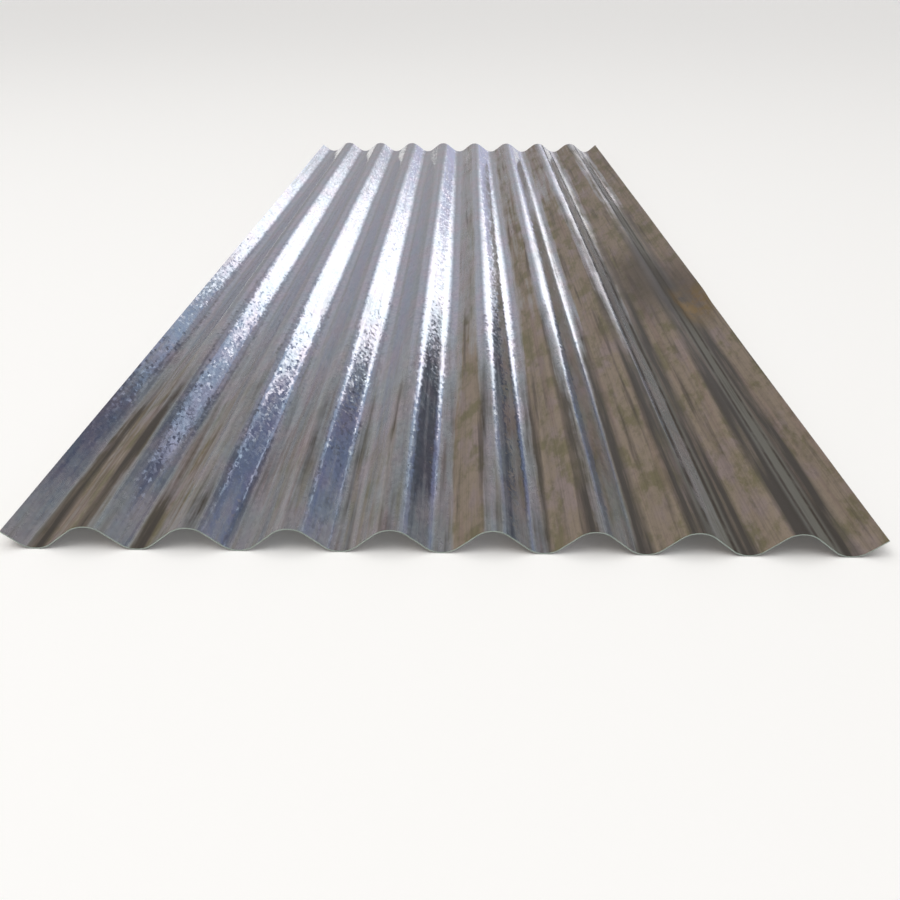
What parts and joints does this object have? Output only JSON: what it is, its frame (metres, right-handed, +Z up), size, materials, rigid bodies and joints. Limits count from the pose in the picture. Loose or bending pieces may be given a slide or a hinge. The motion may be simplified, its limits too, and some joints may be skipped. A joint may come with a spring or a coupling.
{
  "type": "corrugated metal sheet",
  "caption": "Hot-dip galvanised corrugated steel sheet with round crests and valleys, one roll-formed piece for roofs, fences and site hoardings.",
  "frame": {"origin": "middle of the sheet, on the level surface that its valleys rest on", "axes": "+Y along the flutes, +X across the corrugations, +Z up, out of the face that the rain falls on"},
  "size_m": [0.6604, 1.83, 0.0198],
  "materials": {
    "galvanised_steel": "hot-dip galvanised, rolled, glossy with a fine spangle and a film of brown yard dirt"
  },
  "bodies": {
    "root": {"corrugated_sheet": "galvanised_steel"}
  },
  "joints": []
}
